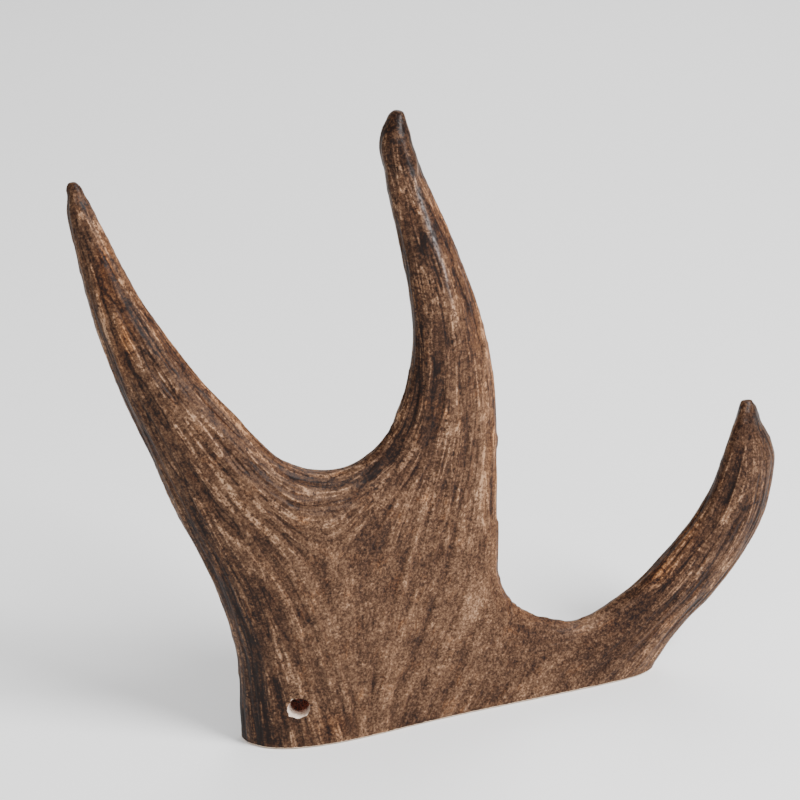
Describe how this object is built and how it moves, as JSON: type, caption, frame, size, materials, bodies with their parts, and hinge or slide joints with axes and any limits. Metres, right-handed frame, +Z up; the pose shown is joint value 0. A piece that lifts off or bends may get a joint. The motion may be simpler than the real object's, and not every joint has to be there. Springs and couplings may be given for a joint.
{
  "type": "antler section",
  "caption": "Sawn flat antler palm with upright tines, standing on its sawn edge, with a small drilled hole for hanging.",
  "frame": {"origin": "under the middle of the part's bounding box, on the plane of the sawn face", "axes": "+Z up from the sawn face towards the tips of the tines, +Y from the convex front to the back along the drilled hole, +X from the thick beam side towards the thin side with the curled tine"},
  "size_m": [0.2894, 0.103, 0.2576],
  "materials": {
    "compact_antler": "satin, worn brown skin over pale compact antler",
    "spongy_antler": "matte, open pores"
  },
  "bodies": {
    "root": {"cortex": "compact_antler", "spongy_core": "spongy_antler"}
  },
  "joints": []
}
